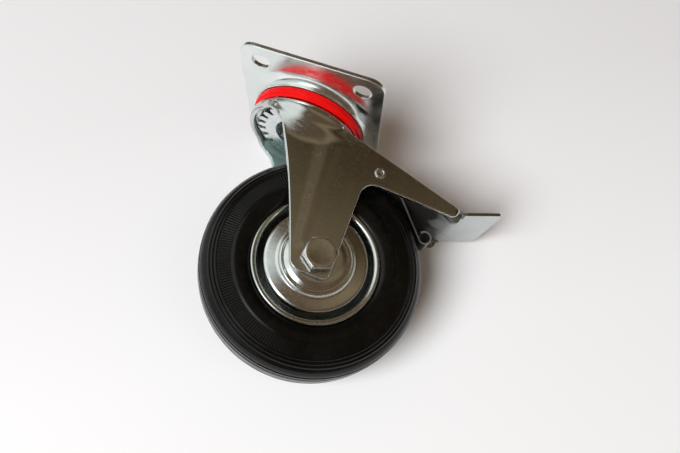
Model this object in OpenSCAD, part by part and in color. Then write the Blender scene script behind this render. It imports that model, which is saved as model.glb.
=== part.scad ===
// Braked swivel castor with a pressed steel fork and a solid rubber tyre.
// Origin at the centre of the mounting plate's top face, on the swivel axis, +Z up, millimetres.

/* [Mounting plate] */
// Plate size along X
plate_x = 85; // [82:1:94]
// Plate size along Y
plate_y = 105; // [101:1:116]
// Plate sheet thickness
plate_t = 2.5; // [2:0.1:3]
// Plate corner radius
plate_corner_r = 9; // [6:0.5:12]
// Hole spacing along X
hole_x = 60; // [58:1:64]
// Hole spacing along Y
hole_y = 80; // [79:1:84]
// Bolt hole diameter
hole_d = 11; // [8.5:0.5:12]
// Depth of the pressed dish around the swivel axis
dish_depth = 5; // [4.6:0.1:6]

/* [Swivel head] */
// Angle of the fork about the swivel axis as built
swivel_angle = 11; // [0:1:30]
// Outer radius of the fork crown
crown_r = 34; // [33.6:0.1:35]
// Upper ball diameter
upper_ball_d = 5.6; // [5.2:0.1:5.8]
// Number of upper balls
upper_ball_n = 28; // [20:1:28]
// Lower ball diameter
lower_ball_d = 4.6; // [4.2:0.1:4.8]
// Number of lower balls
lower_ball_n = 24; // [16:1:24]
// King pin shank diameter
king_d = 12; // [10:0.5:14]
// Lock ring sheet thickness
lock_t = 2; // [1.6:0.1:2.2]
// Number of lock slots
lock_n = 24; // [18:1:26]

/* [Wheel] */
// Wheel diameter over the tread
wheel_d = 125; // [118:1:135]
// Tyre width
tyre_w = 37.5; // [36:0.5:39]
// Rim flange diameter
rim_d = 71.2; // [70:0.2:74]
// Hub tube outer diameter
hub_d = 28; // [27:0.5:30]
// Bearing roller diameter
roller_d = 4.4; // [4:0.1:4.6]
// Number of bearing rollers
roller_n = 10; // [8:1:10]

/* [Fork] */
// Fork sheet thickness
fork_t = 3; // [2.6:0.1:3.2]
// Clear width between the fork legs
fork_gap = 48.5; // [48:0.5:51]
// Distance of the axle behind the swivel axis
trail = 33; // [31:0.5:36]
// Gap from the lock ring down to the tread
tyre_gap = 12.6; // [12:0.1:15]
// Leg reach behind the axle
leg_rear = 9; // [8.5:0.5:11]
// Leg reach below the axle
leg_below = 11.6; // [11:0.2:14]
// Arm reach behind the brake pivot
arm_len = 49.8; // [46:0.2:52]
// Downward slope of the arm's top edge
arm_slope = 13.9; // [12:0.1:14.5]
// Axle bolt diameter
bolt_d = 10; // [8:0.5:10]
// Hexagon size across flats
hex_af = 17; // [15:0.5:18]

/* [Brake] */
// Pedal sheet thickness
pedal_t = 2; // [1.6:0.1:2.2]
// Length of the foot pad
pad_len = 29.5; // [24:0.1:34]
// Upward slope of the foot pad
pad_slope = 23.5; // [20:0.5:28]
// Radius of the foot pad's corners
pad_corner_r = 3; // [1:0.5:6]
// Pivot rivet diameter
pivot_d = 5.2; // [4.6:0.1:5.6]
// Shoe strip width
shoe_w = 11; // [8:0.5:16]
// Shoe strip thickness
shoe_t = 1.2; // [1:0.1:1.4]
// Outer radius of the shoe's rolled end
roll_r = 4.3; // [3.8:0.1:4.4]

/* [Hidden] */
$fn = 96;
// Radial clearance of a running fit
fit_gap = 0.08;
// Radial clearance of a fixed fit
seat_gap = 0.03;
// Clearance on each side of a ball
race_gap = 0.2;
// Side gap between a pedal wall and its fork arm
arm_gap = 1;
zinc = [0.78, 0.80, 0.82];
steel = [0.62, 0.63, 0.65];
rubber = [0.09, 0.09, 0.10];
red = [0.75, 0.08, 0.07];

wheel_r = wheel_d / 2;
leg_in = fork_gap / 2;
leg_y = leg_in + fork_t;
king_r = king_d / 2;
rim_r = rim_d / 2;
bolt_r = bolt_d / 2;
pivot_r = pivot_d / 2;
hub_r = hub_d / 2;

// Heights of the swivel head, from the plate down
dish_z = -plate_t - dish_depth;
crown_z = dish_z - upper_ball_d - 2 * race_gap;
rim_bend = fork_t + 1;
skirt_z = crown_z - rim_bend;
cap_z = crown_z + 4.1;
cap_in_z = cap_z - fork_t;
lock_z = cap_in_z - lower_ball_d - 2 * race_gap;
lock_low_z = lock_z - lock_t;
lock_cup_z = cap_in_z - 1;
hem = 3;
hem_in = 0.6;
cone_z = skirt_z - 11.5;
cone_in = 0.4;
upper_race_r = crown_r - 5.5;
cap_r = upper_race_r - upper_ball_d / 2 - 0.3;
lower_race_r = cap_r - 2 - lower_ball_d / 2 - 0.3;
seal_in_r = upper_race_r + upper_ball_d / 2 + 0.3;
dish_r = crown_r + 5;
dish_foot_r = crown_r + 0.4;
lock_r = crown_r - fork_t - 2.6;
slot_w = 0.74 * PI * lock_r / lock_n;
tooth_c = (lock_r + slot_w / 2) / (1 + PI / lock_n);
tooth_r = lock_r - tooth_c - 0.1;

// Axle, brake pivot and arm, in the plane of the fork
axle = [trail, lock_low_z - tyre_gap - wheel_r];
pivot = axle + [15.5, wheel_r - 3.5];
arm_low = pivot[1] - 7.7;
arm_x = pivot[0] + arm_len;
arm_x0 = sqrt(crown_r * crown_r - leg_y * leg_y) - 0.5;
leg_low = axle[1] - leg_below;

// Pedal
wall_y = leg_in - arm_gap;
web_drop = 1.7;
bend_x = arm_x - 1.8;
bend = [bend_x, web_z(bend_x)];
pad_u = [cos(pad_slope), sin(pad_slope)];
pad_n = [sin(pad_slope), -cos(pad_slope)];
pad_tip = bend + pad_len * pad_u;
web_x0 = pivot[0] - 7.5;
tongue_x = tooth_c - 0.9;
tongue_z = lock_low_z - 0.35;
tongue_w = slot_w - 0.75;

// Shoe
roll_c = axle + (wheel_r + 2.9 + roll_r) * [cos(37.8), sin(37.8)];
shoe_x = pivot[0] + 19.5;
shoe_p = [shoe_x, web_z(shoe_x) - pedal_t / cos(arm_slope)];
shoe_q = shoe_p - shoe_t * [sin(arm_slope), cos(arm_slope)];
shoe_d = roll_c - shoe_q;
shoe_run = sqrt(shoe_d * shoe_d - roll_r * roll_r);
shoe_turn = atan2(shoe_d[1], shoe_d[0]) - asin(roll_r / norm(shoe_d));

// Hub
sleeve_r = hub_r - 2 - roller_d - 0.1;
roller_ring_r = sleeve_r + 0.05 + roller_d / 2;
guard_t = 1.2;
guard_r = rim_r - 7;
guard_drop = 5.5;

function arm_z(x) = skirt_z - (x - arm_x0) * tan(arm_slope);
function web_z(x) = arm_z(x) - web_drop;
function bez(a, b, c, n) =
    [for (i = [0:n]) let (t = i / n) (1 - t) * (1 - t) * a + 2 * t * (1 - t) * b + t * t * c];
function arc(c, r, from, to, n) =
    [for (i = [0:n]) let (a = from + (to - from) * i / n) c + r * [cos(a), sin(a)]];
function ease(u) = u * u * (3 - 2 * u);
function shifted(points, d) = [for (p = points) p + d];
function reversed(points) = [for (i = [len(points) - 1:-1:0]) points[i]];

// Places a shape drawn in the plane of the fork, with its thickness along Y
module in_plane(thick) {
    rotate([90, 0, 0])
        linear_extrude(thick, center = true)
            children();
}

// Turns a shape made about Z onto the axle, facing the bolt head side
module on_axle(side = 1) {
    translate([axle[0], 0, axle[1]])
        rotate([90 * side, 0, 0])
            children();
}

// Places the parts that turn with the fork
module at_fork() {
    rotate([0, 0, swivel_angle])
        children();
}

module plate_outline() {
    x = plate_x / 2 - plate_corner_r;
    y = plate_y / 2 - plate_corner_r;
    square([plate_x, 2 * y], center = true);
    square([2 * x, plate_y], center = true);
    for (i = [-1, 1], j = [-1, 1])
        translate([i * x, j * y])
            circle(plate_corner_r);
}

// Sheet with four holes and a dish pressed down around the swivel axis
module top_plate() {
    flank = [for (a = [90:-9:0])
        [dish_r - (dish_r - dish_foot_r) * cos(a), -plate_t - dish_depth * (1 - sin(a))]];
    floor_r = king_r + seat_gap;
    color(zinc) {
        translate([0, 0, -plate_t])
            linear_extrude(plate_t)
                difference() {
                    plate_outline();
                    circle(dish_r);
                    for (i = [-1, 1], j = [-1, 1])
                        translate([i * hole_x, j * hole_y] / 2)
                            circle(hole_d / 2);
                }
        rotate_extrude()
            polygon(concat(
                flank,
                [[floor_r, dish_z], [floor_r, -dish_depth]],
                reversed(shifted(flank, [-1.6, plate_t])),
                [[dish_r + 0.5, 0], [dish_r + 0.5, -plate_t]]));
    }
}

// Rivet with one head in the dish and one in the cup of the lock ring
module king_pin() {
    cup_low = lock_cup_z - lock_t;
    head_sink = 1.2;
    color(steel)
        rotate_extrude()
            polygon([
                [0, -head_sink],
                [king_r + 4, -head_sink],
                [king_r + 6.5, -head_sink - 1.8],
                [king_r + 6.5, -dish_depth],
                [king_r, -dish_depth],
                [king_r, cup_low],
                [king_r + 3.6, cup_low],
                [king_r + 2.8, cup_low - 2.4],
                [0, cup_low - 3]]);
}

// Sheet ring with a cup pressed up in its centre
module lock_blank() {
    hole_r = king_r + seat_gap;
    cup_r = lower_race_r - lower_ball_d / 2 - 0.3;
    cup = [for (i = [0:8]) [cup_r - 3 * i / 8, lock_z + (lock_cup_z - lock_z) * ease(i / 8)]];
    rotate_extrude()
        polygon(concat(
            [[tooth_c, lock_low_z], [tooth_c, lock_z]],
            cup,
            [[hole_r, lock_cup_z], [hole_r, lock_cup_z - lock_t]],
            reversed(shifted(cup, [-1, -lock_t]))));
}

// Ring with round ended teeth; one slot faces the tongue
module lock_disc() {
    color(zinc)
        at_fork()
            difference() {
                union() {
                    lock_blank();
                    for (i = [0:lock_n - 1])
                        rotate([0, 0, 360 / lock_n * (i + 0.5)])
                            translate([tooth_c, 0, lock_low_z])
                                cylinder(h = lock_t, r = tooth_r, $fn = 24);
                }
                for (i = [0:lock_n - 1])
                    rotate([0, 0, 360 / lock_n * i])
                        translate([tooth_c - 1.4, 0, lock_low_z - 1]) {
                            cylinder(h = lock_t + 2, d = slot_w, $fn = 24);
                            translate([0, -slot_w / 2, 0])
                                cube([6, slot_w, lock_t + 2]);
                        }
            }
}

module ball_ring(n, r, d, z) {
    for (i = [0:n - 1])
        rotate([0, 0, 360 / n * i])
            translate([r, 0, z])
                sphere(d = d, $fn = 24);
}

// Loose balls that carry the load between the plate and the crown
module upper_balls() {
    color(steel)
        ball_ring(upper_ball_n, upper_race_r, upper_ball_d, (dish_z + crown_z) / 2);
}

// Loose balls that hold the crown up against the lock ring
module lower_balls() {
    color(steel)
        ball_ring(lower_ball_n, lower_race_r, lower_ball_d, (cap_in_z + lock_z) / 2);
}

// Moulded ring pressed onto the dish, just clear of the crown
module dust_seal() {
    low = crown_z + 0.5;
    band_low = low + 1.3;
    color(red)
        rotate_extrude()
            polygon([
                [seal_in_r, dish_z],
                [crown_r - 2, dish_z],
                [crown_r - 0.4, dish_z - 0.2],
                [crown_r, dish_z - 0.8],
                [crown_r, band_low + 0.4],
                [crown_r - 0.4, band_low],
                [crown_r - 1.2, band_low],
                [crown_r - 1.3, low],
                [seal_in_r, low]]);
}

// Side view of the whole fork: crown, leg and arm
module fork_side() {
    toe = axle + [-14.4, -7];
    knee = [-14.5, skirt_z - 10.5];
    back = axle[0] + leg_rear;
    polygon(concat(
        [[-crown_r - 3, 0], [-crown_r - 3, skirt_z - hem]],
        bez([-crown_r - 2, skirt_z - hem], [-22, skirt_z - hem - 1], knee, 10),
        bez(knee, [-2.1, skirt_z - 27.7], toe, 12),
        bez(toe, [toe[0] + 1.6, leg_low], [toe[0] + 6.2, leg_low], 6),
        bez([back - 4.6, leg_low], [back, leg_low], [back, leg_low + 4.6], 6),
        bez([back, arm_low - 10], [back, arm_low], [back + 10, arm_low], 8),
        bez([arm_x - 5, arm_low], [arm_x, arm_low], [arm_x, arm_low + 4.6], 6),
        [[arm_x, arm_z(arm_x)], [arm_x0, skirt_z], [crown_r + 3, skirt_z], [crown_r + 3, 0]]));
}

// Tapered stiffening bead on one leg, a cone that stands out of the sheet by a little
module leg_bead(side, depth) {
    top = [pivot[0] - 31.7, pivot[1] + 5];
    low = axle + [-12.4, 4];
    r1 = 11;
    r2 = 2.7;
    a = [top[0], side * (leg_y - depth + 0.8 - r1), top[1]];
    b = [low[0], side * (leg_y - depth + 0.5 - r2), low[1]];
    d = b - a;
    translate(a)
        rotate([0, acos(d[2] / norm(d)), atan2(d[1], d[0])])
            rotate_extrude()
                polygon(concat(arc([0, 0], r1, -90, 0, 8), arc([0, norm(d)], r2, 0, 90, 6)));
}

// Solid block that the crown and the legs are the skin of
module fork_outside() {
    rotate_extrude()
        polygon(concat(
            [[0, cone_z], [0, cap_z], [cap_r - 1, cap_z], [cap_r, cap_z - 0.8], [cap_r + 0.1, crown_z]],
            arc([crown_r - rim_bend, skirt_z], rim_bend, 90, 0, 8),
            [[crown_r - hem_in, skirt_z - hem], [leg_y - cone_in, cone_z]]));
    translate([-arm_x0, -leg_y, leg_low - 1])
        cube([arm_x0 + arm_x + 1, 2 * leg_y, skirt_z - leg_low + 1]);
}

// Hollow under the crown and between the legs, open at the back up to the crown's rim
module fork_inside() {
    rotate_extrude()
        polygon(concat(
            [[0, cone_z - 1], [0, cap_in_z], [cap_r - 2, cap_in_z]],
            [[cap_r - 1.9, crown_z - fork_t], [crown_r - rim_bend, crown_z - fork_t]],
            arc([crown_r - rim_bend, skirt_z], rim_bend - fork_t, 90, 0, 4),
            [[crown_r - fork_t - hem_in, skirt_z - hem]],
            [[leg_in - cone_in, cone_z], [leg_in - cone_in, cone_z - 1]]));
    translate([0, -leg_in, leg_low - 2])
        cube([arm_x + 2, 2 * leg_in, skirt_z - leg_low + 2]);
    translate([-arm_x0 - 1, -leg_in, leg_low - 2])
        cube([arm_x0 + 2, 2 * leg_in, skirt_z - 9 - leg_low + 2]);
}

// One pressed sheet: crown with ball races, two legs, two arms
module fork() {
    color(zinc)
        at_fork()
            difference() {
                intersection() {
                    union() {
                        difference() {
                            fork_outside();
                            fork_inside();
                        }
                        for (side = [-1, 1])
                            intersection() {
                                leg_bead(side, 0);
                                translate([-50, side > 0 ? leg_y - 0.5 * fork_t : -leg_y - 4, leg_low])
                                    cube([120, 4 + 0.5 * fork_t, -leg_low]);
                            }
                    }
                    in_plane(4 * leg_y)
                        fork_side();
                }
                for (side = [-1, 1])
                    leg_bead(side, fork_t);
                translate([0, 0, cap_in_z - 1])
                    cylinder(h = fork_t + 2, r = king_r + fit_gap);
                on_axle()
                    cylinder(h = 4 * leg_y, r = bolt_r + seat_gap, center = true);
                translate([pivot[0], 0, pivot[1]])
                    rotate([90, 0, 0])
                        cylinder(h = 4 * leg_y, r = pivot_r + seat_gap, center = true);
            }
}

// Stub rivets, one in each leg, that the pedal turns on
module pivot_rivets() {
    wall_in = wall_y - pedal_t;
    color(steel)
        at_fork()
            for (side = [-1, 1])
                translate([pivot[0], 0, pivot[1]])
                    rotate([90 * side, 0, 0])
                        rotate_extrude()
                            polygon([
                                [0, wall_in - 1.6],
                                [pivot_r + 1.4, wall_in - 1.6],
                                [pivot_r + 1.8, wall_in - 0.2],
                                [pivot_r, wall_in - 0.2],
                                [pivot_r, leg_y],
                                [pivot_r + 0.8, leg_y],
                                [pivot_r + 0.5, leg_y + 0.9],
                                [pivot_r - 0.6, leg_y + 1.2],
                                [pivot_r - 1, leg_y + 0.8],
                                [0, leg_y + 0.8]]);
}

module hexagon(h, chamfer_at) {
    intersection() {
        rotate([0, 0, 23])
            cylinder(h = h, d = hex_af / cos(30), $fn = 6);
        translate([0, 0, chamfer_at])
            cylinder(h = h, r1 = hex_af / 2 + h * 1.5, r2 = hex_af / 2 - 0.4);
    }
}

// Bolt through both legs, guards and sleeve
module axle_bolt() {
    color(steel)
        at_fork()
            on_axle() {
                translate([0, 0, -leg_y - 1.12 * bolt_d])
                    cylinder(h = 2 * leg_y + 1.12 * bolt_d, r = bolt_r);
                translate([0, 0, -leg_y - 1.24 * bolt_d])
                    cylinder(h = 0.12 * bolt_d, r1 = 0.38 * bolt_d, r2 = bolt_r);
                translate([0, 0, leg_y])
                    hexagon(0.64 * bolt_d, 0);
            }
}

// Nut on the far leg
module axle_nut() {
    color(steel)
        at_fork()
            on_axle(-1)
                translate([0, 0, leg_y])
                    difference() {
                        hexagon(0.84 * bolt_d, 0);
                        translate([0, 0, -1])
                            cylinder(h = bolt_d + 2, r = bolt_r + seat_gap);
                    }
}

// Tube that the rollers run on, clamped between the two guards
module axle_sleeve() {
    half = leg_in - guard_t;
    color(steel)
        at_fork()
            on_axle()
                difference() {
                    cylinder(h = 2 * half, r = sleeve_r, center = true);
                    cylinder(h = 2 * half + 2, r = bolt_r + 0.15, center = true);
                }
}

// Half section of the guard's outer face, as shares of its radius and of its depth
guard_face = [
    [0.47, 0], [0.552, 0.127], [0.626, 0.364], [0.651, 0.382], [0.687, 0.327], [0.719, 0.436],
    [0.74, 0.636], [0.783, 0.709], [0.954, 0.873], [1, 1]];

// Pressed disc that keeps threads out of the bearing
module guard(side) {
    face = concat(
        [[bolt_r + 0.15, leg_in]],
        [for (p = guard_face) [guard_r * p[0], leg_in - guard_drop * p[1]]]);
    color(zinc)
        at_fork()
            on_axle(side)
                rotate_extrude()
                    polygon(concat(face, reversed(shifted(face, [0, -guard_t]))));
}

module guard_near() {
    guard(1);
}

module guard_far() {
    guard(-1);
}

// Half section of the tyre's outer side, as shares of section height and half width
tyre_side = [
    [0.005, 0.905], [0.04, 0.945], [0.1, 0.975], [0.18, 0.993], [0.26, 1], [0.32, 0.995],
    [0.36, 0.965], [0.38, 0.945], [0.645, 0.885], [0.655, 0.9], [0.68, 0.89], [0.69, 0.862],
    [0.715, 0.853], [0.725, 0.868], [0.75, 0.853], [0.76, 0.825], [0.785, 0.81], [0.795, 0.822],
    [0.82, 0.803], [0.83, 0.772], [0.86, 0.74], [0.9, 0.69], [0.935, 0.625], [0.96, 0.56],
    [0.975, 0.5], [0.95, 0.485], [0.95, 0.455], [0.987, 0.44], [0.996, 0.3], [0.97, 0.285],
    [0.97, 0.255], [0.998, 0.24], [1, 0.1]];
// Half section of the wheel disc's tyre side, as steps in from the flange and shares of half width
disc_inside = [
    [-9, 0], [-7.8, 0.053], [-6.1, 0.213], [-3, 0.64], [-1.6, 0.864], [-1.3, 0.907], [0, 0.912]];

function tyre_half(side) =
    [for (p = tyre_side) [rim_r + 0.3 + (wheel_r - rim_r - 0.3) * p[0], side * tyre_w / 2 * p[1]]];
function disc_face() = [for (p = disc_inside) [rim_r + p[0], tyre_w / 2 * p[1]]];
function bead_half() = [for (i = [1:5]) disc_face()[i] + [0.1, -0.05]];

// Solid tyre seated in the vee between the two discs
module tyre() {
    half = concat(bead_half(), [[rim_r + 0.15, tyre_w / 2 * 0.903]], tyre_half(1));
    color(rubber)
        at_fork()
            on_axle()
                rotate_extrude($fn = 192)
                    polygon(concat(half, reversed([for (p = half) [p[0], -p[1]]])));
}

// Pressed disc with a rolled flange; two of them back to back make the wheel
module wheel_disc(side) {
    face = disc_face();
    flange = tyre_w / 2 * 0.992;
    color(zinc)
        at_fork()
            on_axle(side)
                rotate_extrude()
                    polygon(concat(
                        [[hub_r + seat_gap, 0]],
                        face,
                        [[rim_r, flange - 0.5], [rim_r - 0.5, flange], [rim_r - 2, flange]],
                        [[rim_r - 3.2, flange - 0.7], [rim_r - 4, flange - 2.2]],
                        [[rim_r - 4.8, 0.64 * tyre_w / 2], [rim_r - 7.6, 0.213 * tyre_w / 2]],
                        [[rim_r - 9.2, 2], [rim_r - 10.4, 1.5], [hub_r + seat_gap, 1.5]]));
}

module wheel_disc_near() {
    wheel_disc(1);
}

module wheel_disc_far() {
    wheel_disc(-1);
}

// Tube with two collars that grip the discs
module hub_tube() {
    half = leg_in - 3.2;
    color(steel)
        at_fork()
            on_axle()
                rotate_extrude()
                    polygon([
                        [hub_r - 2, -half], [hub_r, -half],
                        [hub_r, -4], [hub_r + 2.5, -3.5], [hub_r + 2.5, -1.5], [hub_r, -1.5],
                        [hub_r, 1.5], [hub_r + 2.5, 1.5], [hub_r + 2.5, 3.5], [hub_r, 4],
                        [hub_r, half], [hub_r - 2, half]]);
}

// Moulded cage that spaces the rollers
module roller_cage() {
    half = leg_in - 5;
    color([0.85, 0.83, 0.76])
        at_fork()
            on_axle()
                difference() {
                    cylinder(h = 2 * half, r = roller_ring_r + 0.7, center = true);
                    cylinder(h = 2 * half + 2, r = roller_ring_r - 0.7, center = true);
                    for (i = [0:roller_n - 1])
                        rotate([0, 0, 360 / roller_n * i])
                            translate([roller_ring_r, 0, 0])
                                cylinder(h = 2 * half - 5, d = roller_d + 0.3, center = true, $fn = 24);
                }
}

// Hardened rollers
module rollers() {
    half = leg_in - 5;
    color(steel)
        at_fork()
            on_axle()
                for (i = [0:roller_n - 1])
                    rotate([0, 0, 360 / roller_n * i])
                        translate([roller_ring_r, 0, 0])
                            cylinder(h = 2 * half - 5.6, d = roller_d, center = true, $fn = 24);
}

// Side view of one pedal wall, which ends behind the tip of the fork's arm
module pedal_wall() {
    rear = bend + 4.5 * pad_u;
    front = [bend[0] - 6, arm_low + 1.7];
    polygon(concat(
        [[web_x0, web_z(web_x0)], bend],
        bez(rear, [bend[0] + 6, arm_low - 6], front, 10),
        [[pivot[0] + 8, arm_low + 1.4], [web_x0, pivot[1] - 2]]));
    translate(pivot)
        circle(6.3);
}

// Plan of the web and the foot pad
module pedal_plan() {
    square_x = pad_tip[0] - pad_corner_r;
    translate([web_x0, -wall_y])
        square([square_x - web_x0, 2 * wall_y]);
    translate([web_x0, -wall_y + pad_corner_r])
        square([pad_tip[0] - web_x0, 2 * (wall_y - pad_corner_r)]);
    for (side = [-1, 1])
        translate([square_x, side * (wall_y - pad_corner_r)])
            circle(pad_corner_r);
}

// Side view of the web that joins the walls: along the arms, then up as the foot pad
module pedal_web() {
    slant = pedal_t / cos(arm_slope);
    mitre = pedal_t / cos((arm_slope + pad_slope) / 2);
    lean = (pad_slope - arm_slope) / 2;
    polygon([
        [web_x0, web_z(web_x0)],
        bend,
        pad_tip,
        pad_tip + pedal_t * pad_n,
        bend + mitre * [sin(lean), -cos(lean)],
        [web_x0, web_z(web_x0) - slant]]);
}

// Side view of the tongue that lifts into a slot of the lock ring
module tongue_side(from_x, to_x) {
    start = [web_x0 + 1, web_z(web_x0 + 1)];
    slope = (start[1] - tongue_z) / (start[0] - tongue_x);
    a = [from_x, tongue_z + slope * (from_x - tongue_x)];
    b = [to_x, tongue_z + slope * (to_x - tongue_x)];
    polygon([a, b, b - [0, pedal_t], a - [0, pedal_t]]);
}

// One pressed channel: two walls, a web with the foot pad, and the lock tongue
module brake_pedal() {
    color(zinc)
        at_fork()
            difference() {
                union() {
                    for (side = [-1, 1])
                        translate([0, side * (wall_y - pedal_t / 2), 0])
                            in_plane(pedal_t)
                                pedal_wall();
                    intersection() {
                        in_plane(2 * wall_y + 4)
                            pedal_web();
                        translate([0, 0, arm_low - 5])
                            linear_extrude(-arm_low)
                                pedal_plan();
                    }
                    in_plane(12)
                        tongue_side(crown_r + 1.5, web_x0 + 1);
                    in_plane(tongue_w)
                        tongue_side(tongue_x, crown_r + 2);
                }
                translate([pivot[0], 0, pivot[1]])
                    rotate([90, 0, 0])
                        cylinder(h = 4 * leg_y, r = pivot_r + fit_gap, center = true);
                shoe_rivet_places()
                    cylinder(h = 20, r = 1.6 + seat_gap, center = true);
            }
}

module shoe_rivet_places() {
    for (back = [4, 9.5])
        translate([shoe_p[0] - back, 0, shoe_p[1] + back * tan(arm_slope)])
            rotate([0, arm_slope, 0])
                children();
}

// Spring strip under the web, running down to a rolled end beside the tread
module brake_shoe() {
    color(steel)
        at_fork()
            difference() {
                in_plane(shoe_w) {
                    translate(shoe_q)
                        rotate(-arm_slope)
                            translate([-13, 0])
                                square([13, shoe_t]);
                    translate(shoe_q)
                        polygon(concat([[0, 0]], arc([0, 0], shoe_t, shoe_turn + 87, 93 - arm_slope, 3)));
                    translate(shoe_q)
                        rotate(shoe_turn)
                            square([shoe_run + 0.3, shoe_t]);
                    translate(roll_c)
                        polygon(concat(
                            arc([0, 0], roll_r, shoe_turn - 90, shoe_turn + 200, 24),
                            arc([0, 0], roll_r - shoe_t, shoe_turn + 200, shoe_turn - 90, 24)));
                }
                shoe_rivet_places()
                    cylinder(h = 20, r = 1.6 + seat_gap, center = true);
            }
}

// Two rivets through the web and the shoe
module shoe_rivets() {
    color(steel)
        at_fork()
            shoe_rivet_places() {
                translate([0, 0, -shoe_t])
                    cylinder(h = shoe_t + pedal_t, r = 1.6);
                translate([0, 0, pedal_t])
                    cylinder(h = 0.9, r1 = 2.8, r2 = 2);
                translate([0, 0, -shoe_t - 0.9])
                    cylinder(h = 0.9, r1 = 2, r2 = 2.8);
            }
}

top_plate();
king_pin();
lock_disc();
upper_balls();
lower_balls();
dust_seal();
fork();
pivot_rivets();
axle_bolt();
axle_nut();
axle_sleeve();
guard_near();
guard_far();
tyre();
wheel_disc_near();
wheel_disc_far();
hub_tube();
roller_cage();
rollers();
brake_pedal();
brake_shoe();
shoe_rivets();
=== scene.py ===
import math

import bmesh
import bpy
from mathutils import Matrix, Vector
from mathutils.geometry import delaunay_2d_cdt


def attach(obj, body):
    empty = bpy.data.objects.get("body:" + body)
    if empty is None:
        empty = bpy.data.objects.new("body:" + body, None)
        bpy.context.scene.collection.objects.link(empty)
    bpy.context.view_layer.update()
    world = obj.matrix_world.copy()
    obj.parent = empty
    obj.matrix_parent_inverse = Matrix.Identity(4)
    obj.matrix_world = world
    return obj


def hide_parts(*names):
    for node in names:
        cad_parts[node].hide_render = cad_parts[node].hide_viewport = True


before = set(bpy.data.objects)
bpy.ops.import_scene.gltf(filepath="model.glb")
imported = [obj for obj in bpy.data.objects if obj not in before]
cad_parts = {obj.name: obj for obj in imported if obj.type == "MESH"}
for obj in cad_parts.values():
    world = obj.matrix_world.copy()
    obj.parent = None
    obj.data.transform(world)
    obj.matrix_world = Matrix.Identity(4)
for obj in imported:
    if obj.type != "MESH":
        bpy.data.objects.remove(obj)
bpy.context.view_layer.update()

# Mounting plate
# A sheet of zinc plated steel, 2.5 mm thick, blanked with round corners and four bolt holes.
# A round dish is pressed down around the swivel axis for the king pin's head.

PLATE_X, PLATE_Y, PLATE_T, PLATE_CORNER = 85.0, 105.0, 2.5, 9.0
HOLE_X, HOLE_Y, HOLE_R = 60.0, 80.0, 5.5
DISH_R, DISH_FOOT_R, DISH_DEPTH = 41.5, 34.4, 5.0
DISH_FLOOR_RADII = [33.6, 30.0, 24.0, 16.0]
KING_R = 6.0


def lerp(a, b, t):
    return a + (b - a) * t


def arc(centre, r, start, end, n):
    """Points of a circular arc, angles in degrees."""
    turns = [math.radians(lerp(start, end, i / n)) for i in range(n + 1)]
    return [Vector((centre[0] + r * math.cos(a), centre[1] + r * math.sin(a))) for a in turns]


def circle(centre, r, n):
    return arc(centre, r, 0, 360, n)[:-1]


def spaced(points, step, closed=True):
    """The path with points added, so that none are further apart than step."""
    points = [Vector(p) for p in points]
    out = []
    for i, a in enumerate(points):
        if i == len(points) - 1 and not closed:
            out.append(a)
            break
        b = points[(i + 1) % len(points)]
        n = max(1, math.ceil((b - a).length / step))
        out += [lerp(a, b, k / n) for k in range(n)]
    return out


def inside(p, loop):
    """True where a point lies within a closed path."""
    odd = False
    for a, b in zip(loop, loop[1:] + loop[:1]):
        if (a[1] > p[1]) != (b[1] > p[1]) and p[0] < lerp(a[0], b[0], (p[1] - a[1]) / (b[1] - a[1])):
            odd = not odd
    return odd


def filled(loops, inner, rings=()):
    """Triangles that fill the first loop less the other loops, through inner points and along closed rings."""
    points, edges = [], []
    for loop in [*loops, *rings]:
        first = len(points)
        points += [Vector((p[0], p[1])) for p in loop]
        edges += [(first + i, first + (i + 1) % len(loop)) for i in range(len(loop))]
    points += [Vector((p[0], p[1])) for p in inner]
    flat, _, faces, *_ = delaunay_2d_cdt(points, edges, [], 1, 1e-4)
    middles = [sum((flat[v] for v in f), Vector((0, 0))) / len(f) for f in faces]
    return flat, [list(f) for f, m in zip(faces, middles)
                  if inside(m, loops[0]) and not any(inside(m, hole) for hole in loops[1:])]


def new_piece(name, points, faces, body, slot, nodes, material, turn_out=True):
    """A smooth mesh in the part's frame from points in millimetres, riding on a body."""
    mesh = bpy.data.meshes.new(name)
    mesh.from_pydata([Vector(p) / 1000 for p in points], [], faces)
    bm = bmesh.new()
    bm.from_mesh(mesh)
    bmesh.ops.remove_doubles(bm, verts=bm.verts, dist=5e-6)
    bmesh.ops.dissolve_degenerate(bm, edges=bm.edges, dist=1e-7)
    if turn_out:
        bmesh.ops.recalc_face_normals(bm, faces=bm.faces)
    bm.to_mesh(mesh)
    bm.free()
    mesh.shade_smooth()
    mesh.materials.append(material)
    piece = bpy.data.objects.new(name, mesh)
    bpy.context.scene.collection.objects.link(piece)
    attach(piece, body)
    if nodes:
        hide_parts(*nodes)
    return piece


def ease_edges(piece, edge, angle=40):
    """Rounds the edges that turn by more than an angle."""
    bevel = piece.modifiers.new("edges", "BEVEL")
    bevel.width = edge / 1000
    bevel.segments = 2
    bevel.limit_method = "ANGLE"
    bevel.angle_limit = math.radians(angle)
    bevel.use_clamp_overlap = False
    bevel.harden_normals = True


def thicken(piece, thick, edge):
    """Gives an open sheet its thickness and eased edges."""
    solid = piece.modifiers.new("sheet", "SOLIDIFY")
    solid.thickness = thick / 1000
    solid.offset = -1.0
    solid.use_even_offset = True
    ease_edges(piece, edge)


def new_material(name):
    material = bpy.data.materials.new(name)
    material.use_nodes = True
    tree = material.node_tree
    return material, tree, tree.nodes["Principled BSDF"]


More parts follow.
